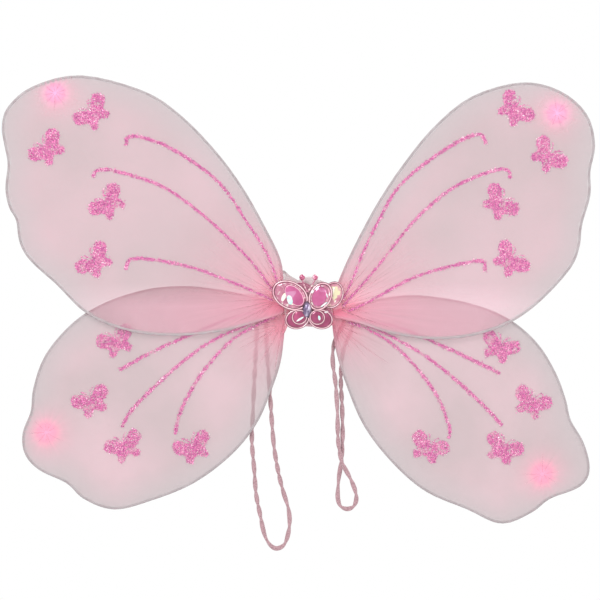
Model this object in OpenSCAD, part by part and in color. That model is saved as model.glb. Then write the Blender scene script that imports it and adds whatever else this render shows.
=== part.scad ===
// Fairy wings: four wire loops in stretched nylon, bound at a jewelled centre, with two elastic straps.
// Seen from behind the wearer. +X is right, +Z is up, +Y points at the wearer's back.
// The origin is on the flat face of the felt pad that rests on the back. Sizes are in millimetres.

/* [Wings] */
// Width over both upper wings
span = 500; // [430:5:600]
// Height from the lower wings' lowest point to the upper wings' top
height = 380; // [325:5:456]
// Diameter of the coated wire in each wing's edge
wire_d = 2; // [1.7:0.1:2.4]
// Thickness of one layer of stretched nylon
nylon_t = 0.25; // [0.2:0.05:0.4]
// Distance between the middle of the upper wings and the middle of the lower wings
plane_gap = 5; // [4.8:0.1:6]

/* [Glitter print] */
// Width of one glitter butterfly
motif_w = 33; // [27:1:40]
// Width of a glitter vein at its outer end
vein_w = 2.6; // [1.6:0.1:3]
// Thickness of the glitter print
print_t = 0.3; // [0.2:0.05:0.4]

/* [Centre] */
// Distance from the middle to the line that each pair of wings folds on
fold_x = 20; // [19:0.5:24]
// Width of the nylon wrap
wrap_w = 31; // [25:1:31]
// Height of the nylon wrap
wrap_h = 42; // [34:1:46]
// Thickness of the nylon wrap's wall
wrap_t = 0.8; // [0.6:0.1:1.2]
// Thickness of the felt pad
pad_t = 3; // [2.5:0.5:4]
// Thickness of the binding wire
binding_t = 0.8; // [0.6:0.1:1]
// Thickness of a jewel butterfly's plate
plate_t = 1.2; // [1:0.1:1.6]
// Height of the large gems over their plate
dome_h = 2.5; // [2:0.1:3.2]
// Diameter of an antenna's bead
bead_d = 5; // [4:0.25:6]

/* [Straps] */
// Diameter of the elastic cord
strap_d = 3.5; // [3:0.1:3.7]
// Diameter of the knot that holds each end of a strap
knot_d = 6; // [5:0.25:6.25]

/* [Hidden] */

$fn = 48;
fit = 0.05;          // slack between a piece and what it sits in
clear = 0.3;         // clearance between pieces that move apart
root_gap = 1;        // from the fold line to the ends of a wing's wire
wire_sides = 8;
curve_steps = 4;     // straight pieces between two points of an outline
motif_steps = 3;     // straight pieces between two points of a butterfly
drawn_span = 500;    // the sizes that the points below are drawn at
drawn_height = 380;
drawn_motif_w = 33;
vein_taper = 0.6;    // share of its width that a vein loses by its root

wire_r = wire_d / 2;
cavity_t = wire_d + 2 * fit;
cover_t = cavity_t + 2 * nylon_t;
cover_edge = wire_r + fit + nylon_t;
root_x = fold_x + root_gap;

// Depths. The pad is at the back and each layer is in front of the one before.
wrap_back = -pad_t;
lower_y = wrap_back - wrap_t - binding_t - 4 * fit - wire_r;
upper_y = lower_y - plane_gap;
bundle_front = upper_y - wire_r - binding_t - 4 * fit;
wrap_front = bundle_front - 4 * wrap_t;
rear_dome_h = dome_h / 2;
front_plate_back = wrap_front - plate_t - rear_dome_h;
front_plate_front = front_plate_back - plate_t;

// Wing outlines along the middle of the wire, from its first end to its second.
// Each point is the distance outwards from the wire's ends, then the height.
LEFT_UPPER = [
    [0, 6], [1, 22], [4, 44], [17, 71], [35, 103], [57, 133], [87, 164], [119, 185], [171, 198],
    [211, 189], [232, 172], [237, 156], [235, 141], [232, 124], [234, 104], [231, 88], [225, 77],
    [222, 58], [213, 43], [191, 23], [165, -2], [131, -16], [91, -20], [51, -16], [19, -7], [0, -1]
];
RIGHT_UPPER = [
    [0, 3], [3, 18], [10, 36], [22, 61], [39, 92], [59, 122], [85, 154], [117, 180], [159, 192],
    [191, 185], [213, 166], [220, 141], [216, 118], [216, 98], [209, 73], [207, 55], [199, 36],
    [173, 8], [147, -10], [117, -20], [84, -23], [49, -18], [21, -9], [0, -4]
];
LEFT_LOWER = [
    [0, 4], [29, 12], [61, 18], [87, 20], [117, 17], [151, 6], [178, -11], [201, -38], [211, -66],
    [213, -85], [220, -104], [218, -121], [206, -134], [183, -145], [169, -158], [144, -167],
    [114, -160], [77, -145], [45, -121], [24, -95], [12, -68], [4, -44], [1, -22], [0, -6]
];
RIGHT_LOWER = [
    [0, -1], [27, 7], [59, 12], [85, 11], [117, 5], [147, -7], [171, -27], [187, -52], [196, -76],
    [200, -93], [211, -112], [216, -134], [208, -148], [183, -158], [167, -170], [142, -179],
    [114, -167], [79, -152], [51, -128], [27, -97], [12, -62], [4, -36], [1, -18], [0, -7]
];

// Glitter veins, from the outer end to the root, in the same coordinates as the outlines.
LEFT_UPPER_VEINS = [
    [[133, 140], [131, 147], [117, 146], [91, 135], [55, 109], [31, 75], [13, 46], [4, 20]],
    [[161, 113], [157, 119], [141, 118], [102, 105], [68, 81], [39, 54], [21, 34], [8, 15]],
    [[133, 35], [130, 43], [114, 44], [75, 36], [33, 20], [9, 9]]
];
RIGHT_UPPER_VEINS = [
    [[129, 141], [124, 149], [109, 145], [82, 128], [56, 106], [38, 76], [25, 49], [16, 26], [8, 10]],
    [[149, 112], [147, 119], [133, 118], [101, 104], [69, 77], [37, 37], [8, 4]],
    [[128, 34], [126, 42], [109, 40], [69, 29], [32, 9], [13, 0]]
];
LEFT_LOWER_VEINS = [
    [[139, -50], [114, -36], [81, -21], [45, -6], [10, 2]],
    [[137, -98], [126, -81], [94, -50], [62, -26], [29, -11], [10, -3]],
    [[92, -104], [86, -82], [68, -51], [43, -24], [17, -9], [7, -5]]
];
RIGHT_LOWER_VEINS = [
    [[141, -53], [117, -41], [78, -23], [53, -13], [28, -8], [10, -3]],
    [[143, -97], [121, -74], [82, -41], [44, -19], [11, -6]],
    [[97, -108], [98, -98], [85, -67], [56, -33], [30, -16], [11, -9]]
];

// Middles of the glitter butterflies and of the tip's tie.
LEFT_UPPER_MOTIFS = [[160, 166], [198, 136], [147, 90], [158, 41]];
RIGHT_UPPER_MOTIFS = [[152, 169], [180, 130], [139, 90], [148, 42]];
LEFT_LOWER_MOTIFS = [[141, -27], [162, -78], [134, -116], [76, -117]];
RIGHT_LOWER_MOTIFS = [[140, -32], [167, -79], [143, -118], [80, -117]];
upper_tilt = 46;     // lean of the upper wings' butterflies, outwards from upright
lower_tilt = 24;

// One wing is [side, depth of its middle, outline, veins, butterflies, their lean, tip tie].
LEFT_UPPER_WING = [-1, upper_y, LEFT_UPPER, LEFT_UPPER_VEINS, LEFT_UPPER_MOTIFS, upper_tilt, [193, 184]];
RIGHT_UPPER_WING = [1, upper_y, RIGHT_UPPER, RIGHT_UPPER_VEINS, RIGHT_UPPER_MOTIFS, upper_tilt, [189, 167]];
LEFT_LOWER_WING = [-1, lower_y, LEFT_LOWER, LEFT_LOWER_VEINS, LEFT_LOWER_MOTIFS, lower_tilt, [201, -103]];
RIGHT_LOWER_WING = [1, lower_y, RIGHT_LOWER, RIGHT_LOWER_VEINS, RIGHT_LOWER_MOTIFS, lower_tilt, [177, -138]];

// Right half of a glitter butterfly, head upwards.
MOTIF_HALF = [
    [0, 4.9], [1.9, 5.8], [4.6, 8.4], [8.2, 11.3], [12.4, 12.1], [15.6, 9.3], [16.4, 4.9], [14, 1.5],
    [10.8, -0.3], [8.7, -1.8], [8.9, -4.2], [10, -6.4], [9.4, -8.8], [7.2, -10.1], [4.7, -9.3],
    [3, -7.2], [1.4, -6.2], [0, -6]
];
MOTIF_FEELER = [[0.6, 3.9], [1.8, 8], [3.6, 11], [6, 12.2]];

// The straps' routes, from one knot round the loop to the other knot.
LEFT_STRAP = [
    [-44, -1.4, 3.7], [-44, -1.4, -20], [-46, -1.4, -60], [-47.5, -1.4, -95], [-48, -1.4, -112],
    [-46, -1.4, -135], [-44.5, -1.4, -155], [-41, -1.4, -173], [-37.5, -1.4, -189],
    [-33, -1.4, -198], [-27, -1.4, -201.5], [-20.5, -1.4, -198], [-17, -1.4, -188],
    [-16, -1.4, -177], [-17.5, -1.4, -166], [-21.5, -1.4, -153], [-25.5, -1.4, -137],
    [-29, -1.4, -117], [-31, -1.4, -95], [-33, -1.4, -65], [-35.5, -1.4, -30], [-36, -1.4, 3.7]
];
RIGHT_STRAP = [
    [31, -1.4, -3.3], [29, -1.7, -12], [22, -2.1, -27], [20.5, -2.6, -42], [23, -3, -62],
    [24.5, -3, -85], [25.2, -3.3, -110], [28.5, -3.5, -128], [35.5, -2.8, -142], [39.5, -2, -152],
    [40.6, -1.6, -159.5], [38.3, -1.4, -165.7], [32.8, -1.1, -168], [27.3, -0.8, -165.7],
    [25, -0.4, -159.5], [25, 0, -151], [26, 0.2, -140], [27.8, 0.3, -128], [29, 0.2, -108],
    [28.5, 0, -80], [27.5, 0, -58], [29.5, -0.2, -34], [36.5, -1.2, -16], [38, -1.4, -3.3]
];
strap_sides = 8;
strap_steps = 2;
LEFT_KNOTS = [36, 44];    // distances of the knots from the middle
RIGHT_KNOTS = [31, 38];
left_knot_z = 7;
right_knot_z = 0;
band_t = 0.9;             // thickness of the flat end that passes round the wing's edge
band_w = 3.2;

// Jewel butterflies: each lobe is [middle, half length, half width, lean of its length].
FRONT_UPPER_LOBES = [[[-15.5, 13.3], 16, 11.5, -28], [[10, 12.3], 12.5, 9.3, 62]];
FRONT_LOWER_LOBES = [[[-9.5, -6.8], 10.3, 8.2, 12], [[10.2, -6.8], 10.3, 8.2, -12]];
REAR_LOBES = [[[20.3, 13.5], 11.5, 8.8, 68], [[-3, 14], 12, 9, -40], [[13, -4.5], 8, 7, -10],
    [[-1, -4.5], 8, 7, 10]];
REAR_BODY = [8, 4];
rear_body_r = 6;
rear_boss_r = 3.5;        // the boss that the front butterfly is glued to
rim_w = 1.3;              // rim of a plate outside its gems
lower_gem_share = 0.8;    // height of the lower gems as a share of the large gems' height
body_extra = 1;           // height of the body's gem over the large gems
gem_sides = 28;
body_sides = 12;
BODY = [-1.4, 1];
BODY_HALF = [3.9, 7];
FEELER_ROOT = [-1, 17];
FEELER_ENDS = [[-5.4, 28.4], [5.6, 28.4]];
feeler_d = 1.6;
antenna_y = front_plate_front - feeler_d / 2;

wrap_z = 8;               // height of the middle of the wrap and of the pad
pad_inset = 1.5;          // the pad's edge inside the wrap's edge
stem_z = [3, -2];         // heights of the upper and the lower wings' wire ends in the wrap
ring_xs = [-12, -6, 0, 6, 12];
ring_w = 1.6;

function unit(v) = v / norm(v);
function curve_point(a, b, c, d, t) =
    0.5 * (2 * b + (c - a) * t + (2 * a - 5 * b + 4 * c - d) * t * t + (3 * b - a - 3 * c + d) * t * t * t);
// A smooth curve through the points, with a number of steps from each point to the next.
function smooth(points, steps) = let (last = len(points) - 1) [
    for (i = [0:last - 1])
        for (k = [0:steps - 1])
            curve_point(points[max(i - 1, 0)], points[i], points[i + 1], points[min(i + 2, last)], k / steps),
    points[last]
];
function along(path, i) = unit(path[min(i + 1, len(path) - 1)] - path[max(i - 1, 0)]);
// A flat path moved sideways: to its left by a positive distance.
function beside(path, distance) = [
    for (i = [0:len(path) - 1]) let (way = along(path, i)) path[i] + distance * [-way.y, way.x]
];
function sized(points) = [for (p = points) [p.x * span / drawn_span, p.y * height / drawn_height]];
function wing_curve(wing) = smooth(sized(wing[2]), curve_steps);
function ellipse_points(half_x, half_y, sides) = [
    for (i = [0:sides - 1]) [half_x * cos(360 * i / sides), half_y * sin(360 * i / sides)]
];

// A round tube along a path. The cross-section's second axis stays near the given axis.
module tube(path, radius, sides, axis) {
    rings = len(path);
    points = [
        for (i = [0:rings - 1])
            let (way = along(path, i), across = unit(cross(way, axis)), up = cross(across, way))
                for (k = [0:sides - 1])
                    path[i] + radius * (cos(360 * k / sides) * across + sin(360 * k / sides) * up)
    ];
    walls = [
        for (i = [0:rings - 2])
            for (k = [0:sides - 1])
                let (next = (k + 1) % sides)
                    [i * sides + k, i * sides + next, (i + 1) * sides + next, (i + 1) * sides + k]
    ];
    first_end = [for (k = [sides - 1:-1:0]) k];
    second_end = [for (k = [0:sides - 1]) (rings - 1) * sides + k];
    polyhedron(points, concat([first_end], walls, [second_end]), convexity = 4);
}

// A dome over an ellipse, standing on the XY plane.
module dome(half_x, half_y, rise, sides) {
    levels = 5;
    top_angle = 75;
    points = [
        for (j = [0:levels - 1])
            let (angle = top_angle * j / (levels - 1))
                for (p = ellipse_points(half_x * cos(angle), half_y * cos(angle), sides))
                    [p.x, p.y, rise * sin(angle) / sin(top_angle)]
    ];
    walls = [
        for (j = [0:levels - 2])
            for (k = [0:sides - 1])
                let (next = (k + 1) % sides)
                    [j * sides + k, (j + 1) * sides + k, (j + 1) * sides + next, j * sides + next]
    ];
    base = [for (k = [0:sides - 1]) k];
    crown = [for (k = [sides - 1:-1:0]) (levels - 1) * sides + k];
    polyhedron(points, concat([base], walls, [crown]), convexity = 2);
}

// Turns a flat shape upright, so that its thickness runs forwards from the given depth.
module upright(back_y) {
    translate([0, back_y, 0]) rotate([90, 0, 0]) children();
}

// Places a shape drawn outwards from the wire's ends on the left or the right wing.
module on_side(side, back_y) {
    if (side < 0)
        mirror([1, 0, 0]) translate([root_x, 0, 0]) upright(back_y) children();
    else
        translate([root_x, 0, 0]) upright(back_y) children();
}

module wing_wire(wing) {
    path = [for (p = wing_curve(wing)) [p.x, p.y, 0]];
    color([0.8, 0.78, 0.78]) on_side(wing[0], wing[1]) tube(path, wire_r, wire_sides, [0, 0, 1]);
}

// A nylon tube pulled flat over the wire, open at the root where the wire comes out.
module wing_cover(wing) {
    path = wing_curve(wing);
    first = path[0];
    second = path[len(path) - 1];
    mouth_reach = 2 * cover_edge;
    color([0.92, 0.77, 0.82, 0.6]) on_side(wing[0], wing[1] + cover_t / 2) difference() {
        linear_extrude(cover_t) polygon(beside(path, cover_edge));
        translate([0, 0, nylon_t]) linear_extrude(cavity_t) {
            polygon(beside(path, wire_r + fit));
            translate([-mouth_reach, second.y]) square([mouth_reach + wire_r, first.y - second.y]);
        }
    }
}

// The knot that closes the nylon at the wing's tip, tied with thread on the back.
module wing_tip_tie(wing) {
    thread_h = 1.6;
    thread_r = 2.2;
    puff_r = 2.6;
    at = sized([wing[6]])[0];
    color([0.98, 0.5, 0.72]) on_side(wing[0], wing[1] + cover_t / 2) translate([at.x, at.y, 0]) {
        translate([0, 0, -thread_h]) cylinder(r = thread_r, h = thread_h);
        translate([0, 0, -thread_h - puff_r / 2]) sphere(r = puff_r);
    }
}

module motif() {
    half = smooth(MOTIF_HALF, motif_steps);
    feeler = smooth(MOTIF_FEELER, motif_steps);
    feeler_half = 0.3;
    other = [for (i = [len(half) - 2:-1:1]) [-half[i].x, half[i].y]];
    inner_edge = beside(feeler, -feeler_half);
    strip = concat(beside(feeler, feeler_half), [for (i = [len(feeler) - 1:-1:0]) inner_edge[i]]);
    polygon(concat(half, other));
    polygon(strip);
    mirror([1, 0]) polygon(strip);
}

module wing_butterflies(wing) {
    color([0.9, 0.35, 0.66]) on_side(wing[0], wing[1] - cover_t / 2)
        for (at = sized(wing[4]))
            translate([at.x, at.y, 0]) linear_extrude(print_t)
                rotate(-wing[5]) scale(motif_w / drawn_motif_w) motif();
}

// A vein is widest at its outer end and runs out thin at the root.
function vein_half_width(i, last) = vein_w / 2 * (1 - vein_taper * pow(i / last, 2));

module wing_veins(wing) {
    color([0.9, 0.35, 0.66]) on_side(wing[0], wing[1] - cover_t / 2)
        for (vein = wing[3]) {
            path = smooth(sized(vein), curve_steps);
            last = len(path) - 1;
            left = [for (i = [0:last]) beside(path, vein_half_width(i, last))[i]];
            right = [for (i = [last:-1:0]) beside(path, -vein_half_width(i, last))[i]];
            linear_extrude(print_t) polygon(concat(left, right));
        }
}

// The bound wire ends: one pair from each wing, lying along the middle of the wrap.
module wire_stems() {
    reach = wrap_w / 2;
    color([0.75, 0.73, 0.72])
        for (side = [-1, 1])
            for (pair = [[upper_y, stem_z[0]], [lower_y, stem_z[1]]])
                for (half = [-1, 1])
                    translate([side * clear, pair[0], pair[1] + half * (wire_r + fit)])
                        rotate([0, side * 90, 0]) cylinder(d = wire_d, h = reach - clear);
}

// Thin wire wound round the four pairs of wire ends.
module stem_binding() {
    low_z = stem_z[1] - wire_d - 3 * fit;
    high_z = stem_z[0] + wire_d + 3 * fit;
    inner_y = lower_y - upper_y + wire_d + 4 * fit;
    inner_z = high_z - low_z;
    middle_y = (lower_y + upper_y) / 2;
    middle_z = (low_z + high_z) / 2;
    color([0.7, 0.7, 0.72])
        for (x = ring_xs)
            translate([x - ring_w / 2, middle_y, middle_z]) rotate([90, 0, 90]) linear_extrude(ring_w)
                difference() {
                    square([inner_y + 2 * binding_t, inner_z + 2 * binding_t], center = true);
                    square([inner_y, inner_z], center = true);
                }
}

// A nylon strip wound round the bundle, open at both sides where the wings come in.
module centre_wrap() {
    low_z = stem_z[1] - wire_d - binding_t - 5 * fit;
    high_z = stem_z[0] + wire_d + binding_t + 5 * fit;
    back = wrap_back - wrap_t;
    color([0.86, 0.68, 0.74]) difference() {
        upright(wrap_back) linear_extrude(wrap_back - wrap_front)
            translate([0, wrap_z]) polygon(ellipse_points(wrap_w / 2, wrap_h / 2, gem_sides * 2));
        translate([-wrap_w, bundle_front, low_z]) cube([2 * wrap_w, back - bundle_front, high_z - low_z]);
    }
}

module back_pad() {
    color([0.93, 0.66, 0.76]) upright(0) linear_extrude(pad_t) translate([0, wrap_z])
        polygon(ellipse_points(wrap_w / 2 - pad_inset, wrap_h / 2 - pad_inset, gem_sides * 2));
}

module lobe_outline(lobe, extra) {
    translate(lobe[0]) rotate(lobe[3])
        polygon(ellipse_points(lobe[1] + extra, lobe[2] + extra, gem_sides * 2));
}

module lobe_dome(lobe, rise, inset) {
    translate([lobe[0].x, lobe[0].y, 0]) rotate(lobe[3])
        dome(lobe[1] - inset, lobe[2] - inset, rise, gem_sides);
}

module rear_jewel_plate() {
    color([0.88, 0.45, 0.68]) {
        upright(wrap_front) linear_extrude(plate_t) {
            for (lobe = REAR_LOBES) lobe_outline(lobe, 0);
            translate(REAR_BODY) circle(r = rear_body_r);
        }
        upright(wrap_front - plate_t) translate([REAR_BODY.x, REAR_BODY.y, 0])
            cylinder(r = rear_boss_r, h = rear_dome_h);
    }
}

// Only the lobes that show past the front butterfly carry gems.
module rear_jewel_domes() {
    color([0.93, 0.85, 0.6]) upright(wrap_front - plate_t)
        lobe_dome(REAR_LOBES[0], rear_dome_h - fit, rim_w);
}

module front_jewel_plate() {
    color([0.9, 0.5, 0.72]) upright(front_plate_back) linear_extrude(plate_t) {
        for (lobe = FRONT_UPPER_LOBES) lobe_outline(lobe, 0);
        for (lobe = FRONT_LOWER_LOBES) lobe_outline(lobe, 0);
        translate(BODY) polygon(ellipse_points(BODY_HALF.x, BODY_HALF.y, gem_sides));
        translate(FEELER_ROOT) circle(d = 3 * feeler_d);
    }
}

module body_footprint(extra) {
    translate(BODY) polygon(ellipse_points(BODY_HALF.x + extra, BODY_HALF.y + extra, gem_sides));
}

// The gems round the body stop short of it.
module gems_round_body(lobes, rise) {
    upright(front_plate_front) difference() {
        for (lobe = lobes) lobe_dome(lobe, rise, rim_w);
        translate([0, 0, -rise]) linear_extrude(3 * rise) body_footprint(2 * fit);
    }
}

module front_upper_domes() {
    color([0.92, 0.4, 0.68]) gems_round_body(FRONT_UPPER_LOBES, dome_h);
}

module front_lower_domes() {
    color([0.88, 0.3, 0.58]) gems_round_body(FRONT_LOWER_LOBES, dome_h * lower_gem_share);
}

module body_gem() {
    color([0.45, 0.38, 0.55]) upright(front_plate_front) translate([BODY.x, BODY.y, 0])
        dome(BODY_HALF.x, BODY_HALF.y, dome_h + body_extra, body_sides);
}

module antenna_stalks() {
    color([0.9, 0.6, 0.76]) for (end = FEELER_ENDS) {
        run = end - FEELER_ROOT;
        translate([FEELER_ROOT.x, antenna_y, FEELER_ROOT.y]) rotate([0, atan2(run.x, run.y), 0])
            cylinder(d = feeler_d, h = norm(run) - bead_d / 2);
    }
}

module antenna_beads() {
    color([0.9, 0.42, 0.62])
        for (end = FEELER_ENDS) translate([end.x, antenna_y, end.y]) sphere(d = bead_d);
}

module strap(route) {
    color([0.72, 0.56, 0.6]) tube(smooth(route, strap_steps), strap_d / 2, strap_sides, [0, 1, 0]);
}

// The height of a lower wing's upper edge at a distance out from the wire's ends.
function edge_height(wing, out) =
    lookup(out, [for (i = [0:3 * curve_steps]) let (p = wing_curve(wing)[i]) [p.x, p.y]]) + cover_edge;

// Each end of a strap is knotted behind the wing and passes over the lower wing's upper edge.
module strap_knots(wing, places, knot_z) {
    side = wing[0];
    back = wing[1] + cover_t / 2 + 2 * fit;
    front = wing[1] - cover_t / 2 - print_t - 2 * fit;
    leg = knot_d / 3;
    color([0.72, 0.56, 0.6])
        for (place = places) {
            top = max([for (edge = [-1, 1]) edge_height(wing, place - root_x + edge * band_w / 2)]) + 2 * fit;
            translate([side * place, 0, 0]) {
                translate([0, back + knot_d / 2, knot_z]) sphere(d = knot_d);
                translate([-band_w / 2, front - band_t, top])
                    cube([band_w, back - front + 2 * band_t, band_t]);
                for (leg_y = [front - band_t, back])
                    translate([-band_w / 2, leg_y, knot_z - leg])
                        cube([band_w, band_t, top - knot_z + leg + band_t / 2]);
            }
        }
}

wing_wire(LEFT_UPPER_WING);  // left_upper_wire
wing_cover(LEFT_UPPER_WING);  // left_upper_cover
wing_tip_tie(LEFT_UPPER_WING);  // left_upper_tip_tie
wing_butterflies(LEFT_UPPER_WING);  // left_upper_butterflies
wing_veins(LEFT_UPPER_WING);  // left_upper_veins
wing_wire(RIGHT_UPPER_WING);  // right_upper_wire
wing_cover(RIGHT_UPPER_WING);  // right_upper_cover
wing_tip_tie(RIGHT_UPPER_WING);  // right_upper_tip_tie
wing_butterflies(RIGHT_UPPER_WING);  // right_upper_butterflies
wing_veins(RIGHT_UPPER_WING);  // right_upper_veins
wing_wire(LEFT_LOWER_WING);  // left_lower_wire
wing_cover(LEFT_LOWER_WING);  // left_lower_cover
wing_tip_tie(LEFT_LOWER_WING);  // left_lower_tip_tie
wing_butterflies(LEFT_LOWER_WING);  // left_lower_butterflies
wing_veins(LEFT_LOWER_WING);  // left_lower_veins
wing_wire(RIGHT_LOWER_WING);  // right_lower_wire
wing_cover(RIGHT_LOWER_WING);  // right_lower_cover
wing_tip_tie(RIGHT_LOWER_WING);  // right_lower_tip_tie
wing_butterflies(RIGHT_LOWER_WING);  // right_lower_butterflies
wing_veins(RIGHT_LOWER_WING);  // right_lower_veins
wire_stems();
stem_binding();
centre_wrap();
back_pad();
rear_jewel_plate();
rear_jewel_domes();
front_jewel_plate();
front_upper_domes();
front_lower_domes();
body_gem();
antenna_stalks();
antenna_beads();
strap(LEFT_STRAP);  // left_strap
strap(RIGHT_STRAP);  // right_strap
strap_knots(LEFT_LOWER_WING, LEFT_KNOTS, left_knot_z);  // left_strap_knots
strap_knots(RIGHT_LOWER_WING, RIGHT_KNOTS, right_knot_z);  // right_strap_knots
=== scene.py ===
"""Fairy wings: sheer nylon, glitter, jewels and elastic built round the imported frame."""

import math

import bmesh
import bpy
import numpy as np
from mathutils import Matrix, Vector, noise


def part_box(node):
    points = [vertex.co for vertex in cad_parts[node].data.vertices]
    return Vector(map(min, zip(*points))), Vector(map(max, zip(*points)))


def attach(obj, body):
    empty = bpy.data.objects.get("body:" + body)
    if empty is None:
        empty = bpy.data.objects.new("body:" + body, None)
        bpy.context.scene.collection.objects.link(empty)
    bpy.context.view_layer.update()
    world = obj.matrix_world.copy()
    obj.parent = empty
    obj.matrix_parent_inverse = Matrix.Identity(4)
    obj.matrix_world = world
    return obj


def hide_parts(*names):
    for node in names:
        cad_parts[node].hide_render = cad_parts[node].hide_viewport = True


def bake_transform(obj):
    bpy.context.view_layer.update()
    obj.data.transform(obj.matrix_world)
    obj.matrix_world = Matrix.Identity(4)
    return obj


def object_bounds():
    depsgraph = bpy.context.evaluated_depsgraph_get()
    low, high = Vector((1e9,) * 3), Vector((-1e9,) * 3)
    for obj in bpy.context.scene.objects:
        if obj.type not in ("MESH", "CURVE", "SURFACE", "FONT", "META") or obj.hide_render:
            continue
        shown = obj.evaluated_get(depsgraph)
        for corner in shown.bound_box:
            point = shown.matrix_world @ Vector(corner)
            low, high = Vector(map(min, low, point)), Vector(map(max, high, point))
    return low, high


MM = 0.001
SIDES = {"left": -1, "right": 1}
WINGS = [("left", "upper"), ("right", "upper"), ("left", "lower"), ("right", "lower")]

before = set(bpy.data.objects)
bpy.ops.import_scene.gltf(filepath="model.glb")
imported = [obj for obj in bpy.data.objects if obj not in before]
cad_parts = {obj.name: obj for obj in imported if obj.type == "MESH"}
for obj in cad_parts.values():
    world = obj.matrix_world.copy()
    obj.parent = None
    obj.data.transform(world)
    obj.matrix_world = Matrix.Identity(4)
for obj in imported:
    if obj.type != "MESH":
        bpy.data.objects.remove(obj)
cad_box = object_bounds()


# ---------------------------------------------------------------- shapes

def smooth_curve(points, steps):
    """A Catmull-Rom curve through the points, with a number of steps from each to the next."""
    p = np.asarray(points, float)
    p = np.vstack([p[:1], p, p[-1:]])
    rows = []
    for i in range(1, len(p) - 2):
        a, b, c, d = p[i - 1], p[i], p[i + 1], p[i + 2]
        for k in range(steps):
            t = k / steps
            rows.append(0.5 * (2 * b + (c - a) * t + (2 * a - 5 * b + 4 * c - d) * t * t
                               + (3 * b - a - 3 * c + d) * t ** 3))
    rows.append(p[-2])
    return np.array(rows)


def spaced(path, spacing, closed=False):
    """The same line with its points an even distance apart."""
    line = np.vstack([path, path[:1]]) if closed else np.asarray(path, float)
    travelled = np.concatenate([[0], np.cumsum(np.linalg.norm(np.diff(line, axis=0), axis=1))])
    count = max(3, int(round(travelled[-1] / spacing)))
    marks = np.linspace(0, travelled[-1], count + 1)
    if closed:
        marks = marks[:-1]
    return np.stack([np.interp(marks, travelled, line[:, k]) for k in range(line.shape[1])], axis=1)


def mesh_piece(name, points, faces, material, smooth=True):
    """A mesh object with one material, named after the material slot that it stands for."""
    mesh = bpy.data.meshes.new(name)
    mesh.from_pydata([tuple(float(c) for c in p) for p in points], [], [tuple(f) for f in faces])
    mesh.validate()
    if smooth:
        mesh.shade_smooth()
    mesh.materials.append(material)
    piece = bpy.data.objects.new(name, mesh)
    bpy.context.scene.collection.objects.link(piece)
    return piece


def turn_outwards(piece):
    """Makes every face of a closed piece look outwards."""
    shape = bmesh.new()
    shape.from_mesh(piece.data)
    bmesh.ops.recalc_face_normals(shape, faces=shape.faces)
    shape.to_mesh(piece.data)
    shape.free()
    return piece


def grid_faces(rows, columns, closed_rows=False, closed_columns=True):
    """Quads between rows of points, each row a ring when closed_columns is set."""
    faces = []
    for i in range(rows if closed_rows else rows - 1):
        for k in range(columns if closed_columns else columns - 1):
            j, m = (i + 1) % rows, (k + 1) % columns
            faces.append((i * columns + k, i * columns + m, j * columns + m, j * columns + k))
    return faces


def end_faces(sides, total):
    """The two faces that close a run of rings: one over the first ring, one over the last."""
    return [tuple(range(sides)), tuple(range(total - 1, total - 1 - sides, -1))]


def round_angles(count, turn=0.0):
    """Even angles once round, all turned by a share of a step."""
    return [2 * math.pi * (k + turn) / count for k in range(count)]


def path_frames(path, reference):
    """Each point's two cross directions, the second as near the reference as it can be."""
    way = np.gradient(path, axis=0)
    way /= np.linalg.norm(way, axis=1)[:, None]
    across = np.cross(way, reference)
    across /= np.linalg.norm(across, axis=1)[:, None]
    return across, np.cross(across, way)


def sweep(path, section, reference=(0, 1, 0), turn=None, size=None, closed=False):
    """Points and faces of a section of (across, up) points carried along a path."""
    path = np.asarray(path, float)
    across, up = path_frames(path, reference)
    count = len(section)
    points = []
    for i, centre in enumerate(path):
        angle = 0.0 if turn is None else turn[i]
        scale = 1.0 if size is None else size[i]
        c, s = math.cos(angle), math.sin(angle)
        for a, b in section:
            points.append(centre + scale * ((a * c - b * s) * across[i] + (a * s + b * c) * up[i]))
    faces = grid_faces(len(path), count, closed_rows=closed)
    if not closed:
        faces += end_faces(count, len(points))
    return points, faces


def oval_section(width, thickness, sides):
    """A flattened round section, with square-shouldered sides."""
    squareness = 0.7
    section = []
    for a in round_angles(sides):
        c, s = math.cos(a), math.sin(a)
        section.append((width / 2 * math.copysign(abs(c) ** squareness, c),
                        thickness / 2 * math.copysign(abs(s) ** squareness, s)))
    return section


def mark(piece, name, values, domain="POINT"):
    """Gives each point or face of a piece a number that its material reads."""
    piece.data.attributes.new(name, "FLOAT", domain).data.foreach_set("value", values)


def thicken(piece, thickness):
    """Gives a single layer of nylon its thickness, on the inner side."""
    solid = piece.modifiers.new("thickness", "SOLIDIFY")
    solid.thickness = thickness
    solid.offset = -1


def joined(parts):
    """Several (points, faces) as one."""
    points, faces = [], []
    for p, f in parts:
        base = len(points)
        points.extend(p)
        faces.extend(tuple(i + base for i in face) for face in f)
    return points, faces


def solids(node):
    """The vertices of each separate solid of a CAD node, lowest x first."""
    shape = bmesh.new()
    shape.from_mesh(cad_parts[node].data)
    bmesh.ops.remove_doubles(shape, verts=shape.verts, dist=0.001 * MM)
    left, found = set(shape.verts), []
    while left:
        stack, island = [left.pop()], []
        while stack:
            v = stack.pop()
            island.append(v.co[:])
            for e in v.link_edges:
                other = e.other_vert(v)
                if other in left:
                    left.remove(other)
                    stack.append(other)
        found.append(np.array(island))
    shape.free()
    return sorted(found, key=lambda island: island[:, 0].mean())


# ---------------------------------------------------------------- materials

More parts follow.
